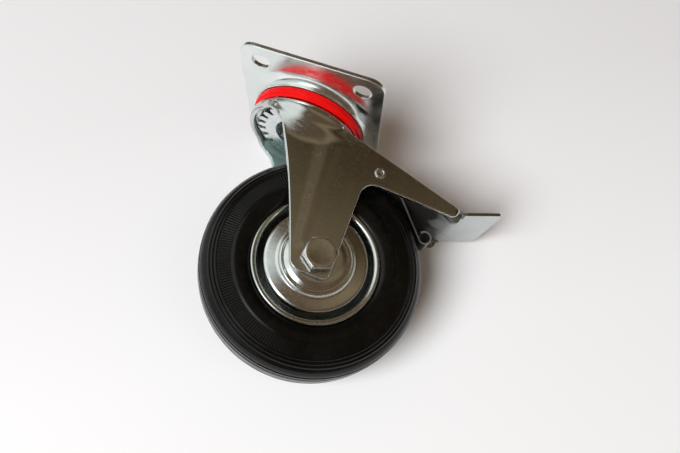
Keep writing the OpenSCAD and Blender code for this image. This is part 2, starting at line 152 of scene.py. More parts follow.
def add_node(tree, kind, inputs=None, **settings):
    """A node with its settings, and with a value or a link on each named input."""
    node = tree.nodes.new(kind)
    for key, value in settings.items():
        setattr(node, key, value)
    for key, value in (inputs or {}).items():
        if isinstance(value, bpy.types.NodeSocket):
            tree.links.new(value, node.inputs[key])
        else:
            node.inputs[key].default_value = value
    return node


def coordinates(tree, kind="Object"):
    return add_node(tree, "ShaderNodeTexCoord").outputs[kind]


def noise(tree, coords, scale, detail=3.0, rough=0.55, stretch=(1, 1, 1), turn=(0, 0, 0)):
    """Noise over the object's own coordinates; scale counts blobs to the metre."""
    place = add_node(tree, "ShaderNodeMapping", {"Vector": coords, "Scale": stretch, "Rotation": turn})
    return add_node(tree, "ShaderNodeTexNoise", {
        "Vector": place.outputs["Vector"], "Scale": scale, "Detail": detail, "Roughness": rough,
    }).outputs["Fac"]


def spread(tree, value, low, high, to_low, to_high):
    """A value moved from one span to another, held at the ends."""
    return add_node(tree, "ShaderNodeMapRange", {
        "Value": value, "From Min": low, "From Max": high, "To Min": to_low, "To Max": to_high,
    }).outputs["Result"]


def blend_colour(tree, share, a, b):
    """A colour between a and b, each of them a socket or three numbers."""
    node = add_node(tree, "ShaderNodeMix", {"Factor": share}, data_type="RGBA")
    for socket, value in ((node.inputs[6], a), (node.inputs[7], b)):
        if isinstance(value, bpy.types.NodeSocket):
            tree.links.new(value, socket)
        else:
            socket.default_value = (*value, 1)
    return node.outputs[2]


def maths(tree, kind, a, b):
    return add_node(tree, "ShaderNodeMath", {0: a, 1: b}, operation=kind).outputs["Value"]


def bump(tree, height, strength, distance, normal=None):
    inputs = {"Height": height, "Strength": strength, "Distance": distance}
    if normal is not None:
        inputs["Normal"] = normal
    return add_node(tree, "ShaderNodeBump", inputs).outputs["Normal"]


def openness(tree, reach):
    """How open a spot is: 1 on a free face, less in a corner nearer than reach in metres."""
    return add_node(tree, "ShaderNodeAmbientOcclusion", {"Distance": reach}, samples=6).outputs["AO"]


def zinc_material(name, pale, deep, rough, peel, scratch_turn):
    """Zinc plating: cloudy tone, fine orange peel and handling scratches, with painted shade that darkens the
    corners and raises their roughness.
    """
    speck_grey, corner_shade_brown = (0.52, 0.54, 0.57), (0.20, 0.185, 0.17)
    material, tree, shader = new_material(name)
    coords = coordinates(tree)
    cloud = noise(tree, coords, 70, detail=4.0, rough=0.6)
    speck = noise(tree, coords, 900, detail=2.0, rough=0.6)
    grain = noise(tree, coords, 260, rough=0.5, stretch=(1, 1, 5))
    scratch = noise(tree, coords, 1.0, detail=2.0, rough=0.5, stretch=(2600, 2600, 90), turn=scratch_turn)
    line = spread(tree, scratch, 0.66, 0.74, 0.0, 1.0)
    # Painted shade: ambient occlusion darkens the colour towards a brown in corners and raises the roughness
    # there.
    corner_shade = spread(tree, openness(tree, 0.0022), 0.25, 0.85, 1.0, 0.0)
    colour = blend_colour(tree, spread(tree, cloud, 0.34, 0.66, 0.0, 1.0), deep, pale)
    colour = blend_colour(tree, spread(tree, speck, 0.6, 0.8, 0.0, 0.35), colour, speck_grey)
    colour = blend_colour(tree, maths(tree, "MULTIPLY", corner_shade, 0.55), colour, corner_shade_brown)
    tree.links.new(colour, shader.inputs["Base Color"])
    shader.inputs["Metallic"].default_value = 1.0
    level = maths(tree, "ADD", spread(tree, grain, 0.3, 0.7, rough - 0.05, rough + 0.07),
                  maths(tree, "MULTIPLY", line, 0.16))
    level = maths(tree, "ADD", level, maths(tree, "MULTIPLY", corner_shade, 0.22))
    tree.links.new(level, shader.inputs["Roughness"])
    normal = bump(tree, grain, peel, 0.00025)
    normal = bump(tree, speck, peel * 0.6, 0.00006, normal)
    normal = bump(tree, maths(tree, "SUBTRACT", 1.0, line), 0.12, 0.00004, normal)
    tree.links.new(normal, shader.inputs["Normal"])
    return material


def dish_under(r):
    """Height of the underside, which flares from the flat into the wall of the dish."""
    share = min(max((DISH_R - r) / (DISH_R - DISH_FOOT_R), 0.0), 1.0)
    return -PLATE_T - DISH_DEPTH * (1 - math.sqrt(1 - share * share))


def plate_sheet():
    """The underside of the plate, filled inside its outline and along rings around the dish."""
    outline = []
    for sx, sy, start in ((1, 1, 0), (-1, 1, 90), (-1, -1, 180), (1, -1, 270)):
        centre = sx * (PLATE_X / 2 - PLATE_CORNER), sy * (PLATE_Y / 2 - PLATE_CORNER)
        outline += arc(centre, PLATE_CORNER, start, start + 90, 10)
    loops = [spaced(outline, 2.5), circle((0, 0), KING_R + 0.05, 48)]
    for sx in (-1, 1):
        for sy in (-1, 1):
            loops.append(circle((sx * HOLE_X / 2, sy * HOLE_Y / 2), HOLE_R, 48))
    radii = [DISH_R - (DISH_R - DISH_FOOT_R) * math.sin(math.radians(7.5 * k)) for k in range(13)]
    rings = [circle((0, 0), r, 144) for r in radii + DISH_FLOOR_RADII]
    flat, faces = filled(loops, [], rings)
    return [(p.x, p.y, dish_under(p.length)) for p in flat], [f[::-1] for f in faces]


plate_zinc = zinc_material("plate_zinc", (0.84, 0.89, 0.875), (0.76, 0.83, 0.815), 0.20, 0.02, (0.2, 0.5, 0.9))
plate = new_piece("mounting_plate", *plate_sheet(), "plate", "zinc_sheet", ["top_plate"], plate_zinc, False)
thicken(plate, PLATE_T, 0.4)

# King pin and ball bearing
# A headed steel rivet holds the plate, the fork crown and the lock ring together; its head lies in the dish.
# Loose steel balls run above and below the crown.

KING_HEAD_R, KING_HEAD_Z, KING_STEP_Z = 12.5, -5.0, -15.4


def bezier(a, b, c, n):
    """Points of a curve from a to c that leaves and arrives towards b."""
    a, b, c = Vector(a), Vector(b), Vector(c)
    return [lerp(lerp(a, b, i / n), lerp(b, c, i / n), i / n) for i in range(n + 1)]


def rounded(points, radius, steps=3, closed=True):
    """The same path with each corner eased over a length of radius."""
    points = [Vector(p) for p in points]
    out = []
    for i, b in enumerate(points):
        if not closed and i in (0, len(points) - 1):
            out.append(b)
            continue
        a, c = points[i - 1], points[(i + 1) % len(points)]
        near = b + (a - b) * min(0.45, radius / max((a - b).length, 1e-6))
        far = b + (c - b) * min(0.45, radius / max((c - b).length, 1e-6))
        out += bezier(near, b, far, steps)
    return out


def about_swivel(r, h, turn):
    return r * math.cos(turn), r * math.sin(turn), h


def lathe(profile, place, n, lift=None):
    """A closed ring from a closed half section; lift moves a point of it outwards along the axis."""
    points, faces, m = [], [], len(profile)
    for i in range(n):
        turn = 2 * math.pi * i / n
        for r, h in profile:
            points.append(place(r, h + (lift(i, r, h) if lift else 0.0), turn))
    for i in range(n):
        for k in range(m):
            a, b = i * m, ((i + 1) % n) * m
            faces.append((a + k, a + (k + 1) % m, b + (k + 1) % m, b + k))
    return points, faces


def steel_material(name, pale, deep, rough):
    """Bright steel: oily patches and small nicks, with painted shade that darkens the corners."""
    corner_shade_brown = (0.16, 0.15, 0.14)
    material, tree, shader = new_material(name)
    coords = coordinates(tree)
    patch = noise(tree, coords, 130, rough=0.6)
    nick = noise(tree, coords, 1400, detail=2.0, rough=0.65)
    pits = spread(tree, nick, 0.62, 0.78, 0.0, 1.0)
    # Painted shade: ambient occlusion darkens the colour towards a brown in corners.
    corner_shade = spread(tree, openness(tree, 0.0014), 0.25, 0.8, 1.0, 0.0)
    colour = blend_colour(tree, spread(tree, patch, 0.35, 0.65, 0.0, 1.0), deep, pale)
    colour = blend_colour(tree, maths(tree, "MULTIPLY", corner_shade, 0.6), colour, corner_shade_brown)
    tree.links.new(colour, shader.inputs["Base Color"])
    shader.inputs["Metallic"].default_value = 1.0
    level = maths(tree, "ADD", spread(tree, patch, 0.3, 0.7, rough - 0.04, rough + 0.08),
                  maths(tree, "MULTIPLY", pits, 0.12))
    tree.links.new(level, shader.inputs["Roughness"])
    tree.links.new(bump(tree, nick, 0.12, 0.00006), shader.inputs["Normal"])
    return material


def finish_node(name, material):
    """Gives a carried-over CAD node its material."""
    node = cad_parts[name]
    node.data.materials.clear()
    node.data.materials.append(material)


bright_steel = steel_material("bright_steel", (0.76, 0.75, 0.73), (0.60, 0.60, 0.60), 0.24)
king_profile = rounded([
    (0, -1.2), (10, -1.2), (KING_HEAD_R, -3), (KING_HEAD_R, KING_HEAD_Z), (KING_R, KING_HEAD_Z),
    (KING_R, KING_STEP_Z), (9.6, KING_STEP_Z), (8.8, -17.8), (0, -18.4),
], 0.7)
new_piece("king_pin_rivet", *lathe(king_profile, about_swivel, 72), "plate", "bright_steel", ["king_pin"],
          bright_steel)
finish_node("upper_balls", bright_steel)
finish_node("lower_balls", bright_steel)

# Dust seal
# A ring of red moulded plastic, pressed onto the dish, that closes the upper ball race.
# A narrower lip under its outer band reaches down to the crown.

SEAL_IN_R, SEAL_R, SEAL_TOP_Z, SEAL_BAND_Z = 31.6, 34.0, -7.5, -11.7


def plastic_material(name, pale, deep, rough):
    """Moulded plastic: fine moulding grain and faint flow clouds, with painted shade that darkens the corners
    towards a deep red.
    """
    corner_shade_tone = (0.14, 0.02, 0.02)
    material, tree, shader = new_material(name)
    coords = coordinates(tree)
    cloud = noise(tree, coords, 90)
    grain = noise(tree, coords, 2200, detail=2.0, rough=0.5)
    # Painted shade: ambient occlusion darkens the colour in corners.
    corner = spread(tree, openness(tree, 0.002), 0.2, 0.7, 0.35, 0.0)
    colour = blend_colour(tree, spread(tree, cloud, 0.35, 0.65, 0.0, 1.0), deep, pale)
    colour = blend_colour(tree, corner, colour, corner_shade_tone)
    tree.links.new(colour, shader.inputs["Base Color"])
    shader.inputs["Specular IOR Level"].default_value = 0.15
    tree.links.new(spread(tree, cloud, 0.3, 0.7, rough - 0.05, rough + 0.08), shader.inputs["Roughness"])
    tree.links.new(bump(tree, grain, 0.08, 0.00005), shader.inputs["Normal"])
    return material


red_plastic = plastic_material("red_plastic", (0.80, 0.006, 0.006), (0.70, 0.005, 0.005), 0.3)
seal_profile = rounded([
    (SEAL_IN_R, SEAL_TOP_Z), (33.3, SEAL_TOP_Z), (33.8, -7.8), (SEAL_R, -8.3), (SEAL_R, -11.3),
    (33.6, SEAL_BAND_Z), (32.8, SEAL_BAND_Z), (32.65, -13.7), (SEAL_IN_R, -13.35),
], 0.25)
new_piece("red_dust_seal", *lathe(seal_profile, about_swivel, 144), "plate", "red_plastic", ["dust_seal"],
          red_plastic)

# Fork
# One pressing of 3 mm zinc plated sheet: a round crown with a ball race, two tapering legs and two arms.
# The sides of the crown run down into the flat legs, and a tapered bead stiffens each leg.

SWIVEL = Matrix.Rotation(math.radians(11), 3, "Z")
FORK_T, LEG_Y = 3.0, 27.25
CROWN_R, CROWN_RIM, SKIRT_Z, SKIRT_ROWS = 34.0, 4.0, -17.5, 5
AXLE, BOLT_R = Vector((33.0, -94.5)), 5.0
PIVOT, PIVOT_R = Vector((48.5, -35.5)), 2.6
ARM_ANGLE = math.radians(13.9)
ARM_SLOPE = math.tan(ARM_ANGLE)
ARM_X0, ARM_X, ARM_LOW = 19.83, 98.3, -43.2
LEG_LOW, LEG_BACK, LEG_CORNER, LEG_HOLLOW = -106.1, 42.0, 4.6, 10.0
BEAD_TOP, BEAD_LOW = Vector((16.8, -31.0)), Vector((20.8, -90.5))
TOE = AXLE + Vector((-14.4, -7))
KNEE = Vector((-14.5, SKIRT_Z - 10.5))
SKIRT_CUT = bezier((-CROWN_R - 2, SKIRT_Z - 3), (-22, SKIRT_Z - 4), KNEE, 60)


def from_fork(x, y, z):
    """A point of the fork's own frame, turned with the fork about the swivel axis."""
    return SWIVEL @ Vector((x, y, z))


def ease(t):
    t = min(max(t, 0.0), 1.0)
    return t * t * (3 - 2 * t)


def arm_z(x):
    """Height of the arm's upper edge."""
    return SKIRT_Z - (x - ARM_X0) * ARM_SLOPE


def cone_r(z):
    """Radius of the crown's side, which starts upright and turns in towards the legs."""
    turn_in, drop = 7.15, 11.5
    return max(CROWN_R - turn_in * max((SKIRT_Z - z) / drop, 0.0) ** 1.7, 0.0)


def bead_out(x, z):
    """Rise of the leg's bead, which narrows and flattens downwards."""
    p, run = Vector((x, z)) - BEAD_TOP, BEAD_LOW - BEAD_TOP
    t = min(max(p.dot(run) / run.length_squared, 0.0), 1.0)
    half_width, rise = lerp(9.5, 4.4, t), lerp(0.8, 0.45, t)
    away = (p - run * t).length / half_width
    return rise * 0.5 * (1 + math.cos(math.pi * min(away, 1.0)))


def leg_out(x, z):
    """Distance of the leg's outer face from the middle plane, with a soft run out of the crown."""
    blend = 9.0
    round_part = math.sqrt(max(cone_r(z) ** 2 - x * x, 0.0))
    soft = blend * ease((SKIRT_Z - z) / blend) + 1e-3
    gap = max(soft - abs(round_part - LEG_Y), 0.0) / soft
    return max(round_part, LEG_Y) + gap * gap * soft * 0.25 + bead_out(x, z)


def skirt_low(x):
    """Height of the skirt's lower edge at the front."""
    for a, b in zip(SKIRT_CUT, SKIRT_CUT[1:]):
        if a.x <= x <= b.x:
            return lerp(a.y, b.y, (x - a.x) / (b.x - a.x))
    return SKIRT_Z - 3


def grid(n, m, closed=False):
    """Four sided faces between n rows of m points; closed joins the last row to the first."""
    faces = []
    for i in range(n if closed else n - 1):
        a, b = i * m, (i + 1) % n * m
        faces += [(a + k, b + k, b + k + 1, a + k + 1) for k in range(m - 1)]
    return faces


def joined(meshes):
    """The points and faces of several meshes as one."""
    points, faces = [], []
    for more_points, more_faces in meshes:
        faces += [[v + len(points) for v in f] for f in more_faces]
        points += more_points
    return points, faces


def crown_rings(turns):
    """The crown from the king pin's hole to the rim; angles run from the front."""
    race_r, rim_r, rim_z = 25.5, CROWN_R - CROWN_RIM, SKIRT_Z + CROWN_RIM
    section = rounded([
        (KING_R + 0.1, -9.4), (race_r - 1.1, -9.4), (race_r - 0.1, -10.4), (race_r, rim_z), (rim_r, rim_z),
    ], 0.8, 4, False)
    section += arc((rim_r, SKIRT_Z), CROWN_RIM, 82, 0, 8)
    points = [(-r * math.cos(a), r * math.sin(a), z) for a in turns for r, z in section]
    return points, grid(len(turns), len(section), True)


def front_skirt(front, corner):
    """The low skirt round the front, which runs into the legs at both ends."""
    points, run_in = [], 0.55
    for a in front:
        x_top = -CROWN_R * math.cos(a)
        share = ease((abs(a) - run_in) / (corner - run_in))
        for k in range(SKIRT_ROWS + 1):
            z = lerp(SKIRT_Z, skirt_low(x_top), k / SKIRT_ROWS)
            x, y = -cone_r(z) * math.cos(a), cone_r(z) * math.sin(a)
            y_leg = math.copysign(leg_out(x_top, z), a)
            points.append((lerp(x, x_top, share), lerp(y, y_leg, share), z))
    return points, grid(len(front), SKIRT_ROWS + 1)


def leg_outline(side, corner):
    """The leg and its arm in side view, as one closed path."""
    edge_x = -CROWN_R * math.cos(corner)
    top = [Vector((-CROWN_R * math.cos(a), SKIRT_Z)) for a in side]
    arm_end = bezier((ARM_X - 5, ARM_LOW), (ARM_X, ARM_LOW), (ARM_X, ARM_LOW + LEG_CORNER), 6)[::-1]
    path = spaced([(ARM_X0, SKIRT_Z), (ARM_X, arm_z(ARM_X))], 1.8, False)[1:]
    path += spaced(arm_end, 1.6, False)
    hollow, heel = Vector((LEG_BACK, ARM_LOW)), Vector((LEG_BACK, LEG_LOW))
    path += bezier(hollow + Vector((LEG_HOLLOW, 0)), hollow, hollow - Vector((0, LEG_HOLLOW)), 10)
    path += bezier(heel + Vector((0, LEG_CORNER)), heel, heel - Vector((LEG_CORNER, 0)), 6)
    path += bezier((TOE.x + 6.2, LEG_LOW), (TOE.x + 1.6, LEG_LOW), TOE, 6)
    path += bezier(TOE, (-2.1, SKIRT_Z - 27.7), KNEE, 36)[1:]
    path += [p for p in SKIRT_CUT[::-1][1::3] if edge_x + 0.9 < p.x < KNEE.x - 0.3]
    left = [Vector((edge_x, lerp(skirt_low(edge_x), SKIRT_Z, k / SKIRT_ROWS))) for k in range(SKIRT_ROWS)]
    return top + spaced(path, 1.8, False) + left


def leg_inner(outline):
    """Points inside the leg's outline, close together where the sheet bends."""
    inner = []
    for i in range(64):
        for k in range(100):
            x, z = -18.5 + 1.2 * i + 0.6 * (k % 2), SKIRT_Z - 0.8 - 0.9 * k
            at_bead = z < -34 and any(bead_out(x + step, z) > 0.003 for step in (0, 2, -2))
            at_crown = z > -36.5 and x < 24
            if at_bead or at_crown or (i % 3 == 0 and k % 4 == 0):
                inner.append(Vector((x, z)))
    return [p for p in inner if min((p - q).length for q in outline) > 1.1
            and (p - AXLE).length > BOLT_R + 1 and (p - PIVOT).length > PIVOT_R + 1]


def fork_sheet():
    """The fork's outer face: crown, front skirt and both legs."""
    corner = math.asin(LEG_Y / CROWN_R)
    last = math.acos(-ARM_X0 / CROWN_R)
    front = [lerp(-corner, corner, i / 40) for i in range(41)]
    side = [lerp(corner, last, i / 26) for i in range(27)]
    rear = [lerp(last, 2 * math.pi - last, i / 44) for i in range(45)]
    turns = front[:-1] + side[:-1] + rear[:-1] + [2 * math.pi - a for a in reversed(side[1:])]
    outline = leg_outline(side, corner)
    holes = [circle(AXLE, BOLT_R + 0.05, 36), circle(PIVOT, PIVOT_R + 0.05, 24)]
    flat, faces = filled([outline] + holes, leg_inner(outline))
    meshes = [crown_rings(turns), front_skirt(front, corner)]
    for way in (-1, 1):
        leg = [(p.x, way * leg_out(p.x, p.y), p.y) for p in flat]
        meshes.append((leg, [f[::-way] for f in faces]))
    points, faces = joined(meshes)
    return [from_fork(*p) for p in points], faces


def paint_light_inside(material):
    """Painted light inside the fork: faces turned to the middle plane get a bluer, half metallic finish, so
    that the lamps light them with a teal tone where mirror reflections leave them dark.
    """
    painted_inside_teal = (0.36, 0.52, 0.49)
    tree = material.node_tree
    shader = tree.nodes["Principled BSDF"]
    place = add_node(tree, "ShaderNodeSeparateXYZ", {0: coordinates(tree)})
    facing = add_node(tree, "ShaderNodeSeparateXYZ", {0: coordinates(tree, "Normal")})
    turned_in = maths(tree, "MULTIPLY", place.outputs["Y"], facing.outputs["Y"])
    # Painted light: the inner faces turn half diffuse and teal, so that lamps brighten them.
    inner = spread(tree, turned_in, -0.02, -0.006, 1.0, 0.0)
    tree.links.new(spread(tree, inner, 0.0, 1.0, 1.0, 0.5), shader.inputs["Metallic"])
    outside = shader.inputs["Base Color"].links[0].from_socket
    tree.links.new(blend_colour(tree, inner, outside, painted_inside_teal), shader.inputs["Base Color"])


fork_zinc = zinc_material("fork_zinc", (0.70, 0.73, 0.71), (0.62, 0.66, 0.65), 0.15, 0.05, (0.1, 0.4, 0.2))
paint_light_inside(fork_zinc)
fork = new_piece("swivel_fork", *fork_sheet(), "fork", "zinc_sheet", ["fork"], fork_zinc, False)
thicken(fork, FORK_T, 0.9)

# Lock ring
# A toothed ring of 2 mm zinc plated sheet, riveted under the crown by the king pin.
# The brake's tongue lifts into one of its slots and stops the swivel.

ring_zinc = zinc_material("lock_ring_zinc", (0.80, 0.83, 0.82), (0.70, 0.74, 0.73), 0.26, 0.06, (0, 0, 0))
finish_node("lock_disc", ring_zinc)
ease_edges(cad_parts["lock_disc"], 0.2, 50)

# Wheel
# Two pressed zinc plated discs, back to back on a steel hub tube, grip a solid black rubber tyre.
# The tyre has a band of fine radial ribs and three thin rings on each side, and a rounded tread.

RIM_R, WHEEL_R, HALF_W = 35.6, 62.5, 18.75
RIB_IN_R, RIB_OUT_R, RIB_H, RIB_STEPS = 46.0, 53.0, 0.5, (0.0, 1.0, 0.6)
RIB_COUNT = 216
HUB_R, DISC_T = 14.03, 1.5
LIP_H = 0.992 * HALF_W


def about_axle(r, h, turn):
    """A point at radius r about the axle, h out towards the bolt head's side."""
    return from_fork(AXLE.x + r * math.cos(turn), -h, AXLE.y + r * math.sin(turn))


def about_axle_far(r, h, turn):
    return about_axle(r, -h, turn)


def rubber_material():
    """Black rubber: dull mottling, moulding grain, and a thin film of pale dust in patches."""
    black, worn_black, dust_grey = (0.0016, 0.0016, 0.0014), (0.003, 0.003, 0.0027), (0.009, 0.009, 0.009)
    material, tree, shader = new_material("black_rubber")
    coords = coordinates(tree)
    cloud = noise(tree, coords, 60, detail=4.0, rough=0.6)
    grain = noise(tree, coords, 1500, rough=0.6)
    dust = spread(tree, noise(tree, coords, 240, detail=5.0, rough=0.7), 0.5, 0.8, 0.0, 0.5)
    colour = blend_colour(tree, spread(tree, cloud, 0.35, 0.65, 0.0, 1.0), black, worn_black)
    tree.links.new(blend_colour(tree, dust, colour, dust_grey), shader.inputs["Base Color"])
    shader.inputs["Specular IOR Level"].default_value = 0.30
    tree.links.new(spread(tree, cloud, 0.3, 0.7, 0.18, 0.30), shader.inputs["Roughness"])
    tree.links.new(bump(tree, grain, 0.10, 0.00008), shader.inputs["Normal"])
    return material


# Shares of the way from the rim to the tread, and of the half width: shoulder, ribbed band, rings, tread
tyre_side = [
    (0.005, 0.905), (0.04, 0.945), (0.1, 0.975), (0.18, 0.993), (0.26, 1), (0.32, 0.995), (0.36, 0.965),
    (0.38, 0.945), (0.395, 0.941), (0.63, 0.888), (0.645, 0.885), (0.655, 0.9), (0.68, 0.89), (0.69, 0.862),
    (0.715, 0.853), (0.725, 0.868), (0.75, 0.853), (0.76, 0.825), (0.785, 0.81), (0.795, 0.822), (0.82, 0.803),
    (0.83, 0.772), (0.86, 0.74), (0.9, 0.69), (0.935, 0.625), (0.96, 0.56), (0.975, 0.5), (0.95, 0.485),
    (0.95, 0.455), (0.987, 0.44), (0.996, 0.3), (0.97, 0.285), (0.97, 0.255), (0.998, 0.24), (1, 0.1),
]


def rib_lift(i, r, h):
    """Height of the ribs at one step round the tyre."""
    if RIB_IN_R < r < RIB_OUT_R:
        return math.copysign(RIB_H * RIB_STEPS[i % len(RIB_STEPS)], h)
    return 0.0


def tyre_shape():
    start = RIM_R + 0.3
    bead = [(-7.7, 0.05), (-6.0, 0.21), (-2.9, 0.637), (-1.5, 0.861), (0.15, 0.903)]
    half = [(RIM_R + step, HALF_W * share) for step, share in bead]
    half += [(start + (WHEEL_R - start) * u, HALF_W * v) for u, v in tyre_side]
    half = [tuple(p) for p in rounded(half, 0.28, 1, False)]
    profile = half + [(r, -h) for r, h in reversed(half)]
    return lathe(profile, about_axle, RIB_COUNT * len(RIB_STEPS), rib_lift)


new_piece("rubber_tyre", *tyre_shape(), "wheel", "black_rubber", ["tyre"], rubber_material())
disc_profile = rounded([
    (HUB_R, 0), (26.6, 0), (27.8, 0.99), (29.5, 3.99), (32.6, 12), (34, 16.2), (34.3, 17), (RIM_R, 17.1),
    (RIM_R, LIP_H - 0.9), (RIM_R - 0.3, LIP_H - 0.35), (RIM_R - 0.9, LIP_H), (RIM_R - 1.6, LIP_H - 0.05),
    (RIM_R - 2.4, LIP_H - 0.35), (RIM_R - 3.2, LIP_H - 0.95), (RIM_R - 4, LIP_H - 2.2), (RIM_R - 4.8, 12),
    (RIM_R - 7.6, 3.99), (RIM_R - 9.2, 2), (RIM_R - 10.4, DISC_T), (HUB_R, DISC_T),
], 0.5)
disc_zinc = zinc_material("disc_zinc", (0.78, 0.83, 0.81), (0.66, 0.72, 0.70), 0.18, 0.05, (0.7, 0.1, 0.3))
disc_front = lathe(disc_profile, about_axle, 144)
new_piece("wheel_disc_front", *disc_front, "wheel", "zinc_sheet", ["wheel_disc_near"], disc_zinc)
disc_back = lathe(disc_profile, about_axle_far, 144)
new_piece("wheel_disc_back", *disc_back, "wheel", "zinc_sheet", ["wheel_disc_far"], disc_zinc)
finish_node("hub_tube", bright_steel)
finish_node("rollers", bright_steel)
finish_node("roller_cage", plastic_material("cage_plastic", (0.76, 0.73, 0.64), (0.66, 0.63, 0.55), 0.4))

# Axle
# A hexagon bolt with a nut passes through both legs, two pressed thread guards and a steel sleeve.
# The guards are zinc plated discs with stepped rings that cover the bearing.

LEG_IN = LEG_Y - FORK_T
GUARD_R, GUARD_DEPTH, GUARD_T = 28.6, 5.5, 1.2
HEX_SIDE_R, HEX_CUT_R, HEX_TURN = 8.5, 8.15, math.radians(23)
HEAD_H, NUT_H = 6.4, 8.4
THREAD_END, THREAD_START, THREAD_PITCH, THREAD_DEPTH = -39.5, -24.0, 1.5, 0.4
THREAD_STEP = 0.25

# Shares of the guard's radius, and of its depth from the leg towards the wheel
guard_steps = [
    (0.47, 0), (0.552, 0.127), (0.626, 0.364), (0.651, 0.382), (0.687, 0.327), (0.719, 0.436), (0.74, 0.636),
    (0.783, 0.709), (0.954, 0.873), (1, 1),
]
guard_face = [(BOLT_R + 0.15, LEG_IN)] + [(GUARD_R * u, LEG_IN - GUARD_DEPTH * v) for u, v in guard_steps]
guard_profile = rounded(guard_face + [(r, h - GUARD_T) for r, h in reversed(guard_face)], 0.45)
guard_zinc = zinc_material("guard_zinc", (0.80, 0.84, 0.82), (0.68, 0.73, 0.71), 0.18, 0.05, (0.3, 0.2, 0.8))
finish_node("axle_sleeve", bright_steel)
guard_front = lathe(guard_profile, about_axle, 144)
new_piece("thread_guard_front", *guard_front, "fork", "zinc_sheet", ["guard_near"], guard_zinc)
guard_back = lathe(guard_profile, about_axle_far, 144)
new_piece("thread_guard_back", *guard_back, "fork", "zinc_sheet", ["guard_far"], guard_zinc)


def turned(rows, place, n=96):
    """A closed solid from rows of (radius, height), where either may depend on the angle."""
    points = [place(*row(2 * math.pi * i / n), 2 * math.pi * i / n) for i in range(n) for row in rows]
    m, faces = len(rows), []
    for i in range(n):
        a, b = i * m, (i + 1) % n * m
        faces += [(a + k, a + k + 1, b + k + 1, b + k) for k in range(m - 1)]
    return points, faces


def ring_row(r, h):
    """A round row, the same at every angle."""
    return lambda turn: (r, h)


def hex_r(turn):
    """Distance of the hexagon's side at an angle; a corner lies at HEX_TURN."""
    return HEX_SIDE_R / math.cos((turn - HEX_TURN) % (math.pi / 3) - math.pi / 6)


def hex_rows(base, height):
    """Side of a hexagon with its corners cut by a cone at the outer end."""
    top = base + height

    def cone_h(turn):
        return top - max(hex_r(turn) - HEX_CUT_R, 0) * 0.55

    return [
        lambda t: (hex_r(t) - 0.25, base),
        lambda t: (hex_r(t), base + 0.25),
        lambda t: (hex_r(t), lerp(base, cone_h(t), 0.5)),
        lambda t: (hex_r(t), cone_h(t) - 0.12),
        lambda t: (hex_r(t) - 0.12, cone_h(t) + 0.02),
        ring_row(HEX_CUT_R, top - 0.05),
        ring_row(HEX_CUT_R - 0.35, top),
    ]


def thread_row(h):
    """A row across the bolt's thread; its ridge winds up the shank and the end is pointed."""
    def row(turn):
        phase = (h / THREAD_PITCH - turn / (2 * math.pi)) % 1.0
        point = min(1.0, (h - THREAD_END) / 0.6 * 0.28 + 0.74)
        depth = 2 * THREAD_DEPTH * min(1.0, (THREAD_START - h) / THREAD_PITCH)
        return BOLT_R * point - depth * abs(phase - 0.5), h
    return row


def bolt_shape():
    end, top = THREAD_END - 0.1, LEG_Y + HEAD_H
    count = round((THREAD_START - THREAD_END) / THREAD_STEP) + 1
    rows = [ring_row(0.0, end), ring_row(3.5, end)]
    rows += [thread_row(THREAD_END + THREAD_STEP * k) for k in range(count)]
    rows += [ring_row(BOLT_R, THREAD_START + 0.2), ring_row(BOLT_R, LEG_Y - 0.25), ring_row(6.5, LEG_Y)]
    rows += hex_rows(LEG_Y, HEAD_H)
    rows += [ring_row(6.2, top - 0.05), ring_row(5.9, top - 0.1), ring_row(0.0, top - 0.15)]
    return turned(rows, about_axle)


def nut_shape():
    bore, top = BOLT_R + 0.06, LEG_Y + NUT_H
    rows = [ring_row(bore, LEG_Y + 0.6), ring_row(5.8, LEG_Y)] + hex_rows(LEG_Y, NUT_H)
    rows += [ring_row(5.9, top), ring_row(bore, top - 0.6), ring_row(bore, LEG_Y + 0.6)]
    return turned(rows, about_axle_far)


bolt_steel = steel_material("bolt_steel", (0.78, 0.77, 0.74), (0.60, 0.60, 0.59), 0.22)
new_piece("axle_hex_bolt", *bolt_shape(), "fork", "bright_steel", ["axle_bolt"], bolt_steel)
new_piece("axle_hex_nut", *nut_shape(), "fork", "bright_steel", ["axle_nut"], bolt_steel)

# Brake pivots
# A short steel rivet in each arm, with a flat head inside the pedal and a peened end outside.
# The pedal turns on the two of them.

WALL_Y, PEDAL_T = 23.25, 2.0
PIVOT_HEAD_Y = WALL_Y - PEDAL_T - 0.2


def pivot_place(way):
    return lambda r, h, turn: from_fork(PIVOT.x + r * math.cos(turn), -way * h, PIVOT.y + r * math.sin(turn))


pivot_profile = rounded([
    (0, PIVOT_HEAD_Y - 1.4), (4.0, PIVOT_HEAD_Y - 1.4), (4.4, PIVOT_HEAD_Y), (PIVOT_R, PIVOT_HEAD_Y),
    (PIVOT_R, LEG_Y), (3.4, LEG_Y), (3.1, LEG_Y + 0.9), (2.0, LEG_Y + 1.2), (1.6, LEG_Y + 0.8),
    (0, LEG_Y + 0.8),
], 0.25)
pivot_pair = joined([lathe(pivot_profile, pivot_place(way), 48) for way in (1, -1)])
new_piece("pivot_rivet_pair", *pivot_pair, "fork", "bright_steel", ["pivot_rivets"], bright_steel)

# Brake pedal
# One pressing of 2 mm zinc plated sheet: a channel that turns between the arms, and a flat foot pad behind it.
# A tongue at its front lifts into the lock ring.

PAD_CORNER, PAD_ANGLE = 3.0, math.radians(23.5)
PAD_U = Vector((math.cos(PAD_ANGLE), math.sin(PAD_ANGLE)))
PAD_N = Vector((PAD_U.y, -PAD_U.x))
BOSS_R, FOLD_R = 6.3, 2.4
TONGUE_X, TONGUE_Z, TONGUE_FOOT_X = 25.43, -19.75, 42.0


def web_z(x):
    """Height of the channel's web, a little under the arm's upper edge."""
    return arm_z(x) - 1.7


def on_web(x):
    return Vector((x, web_z(x)))


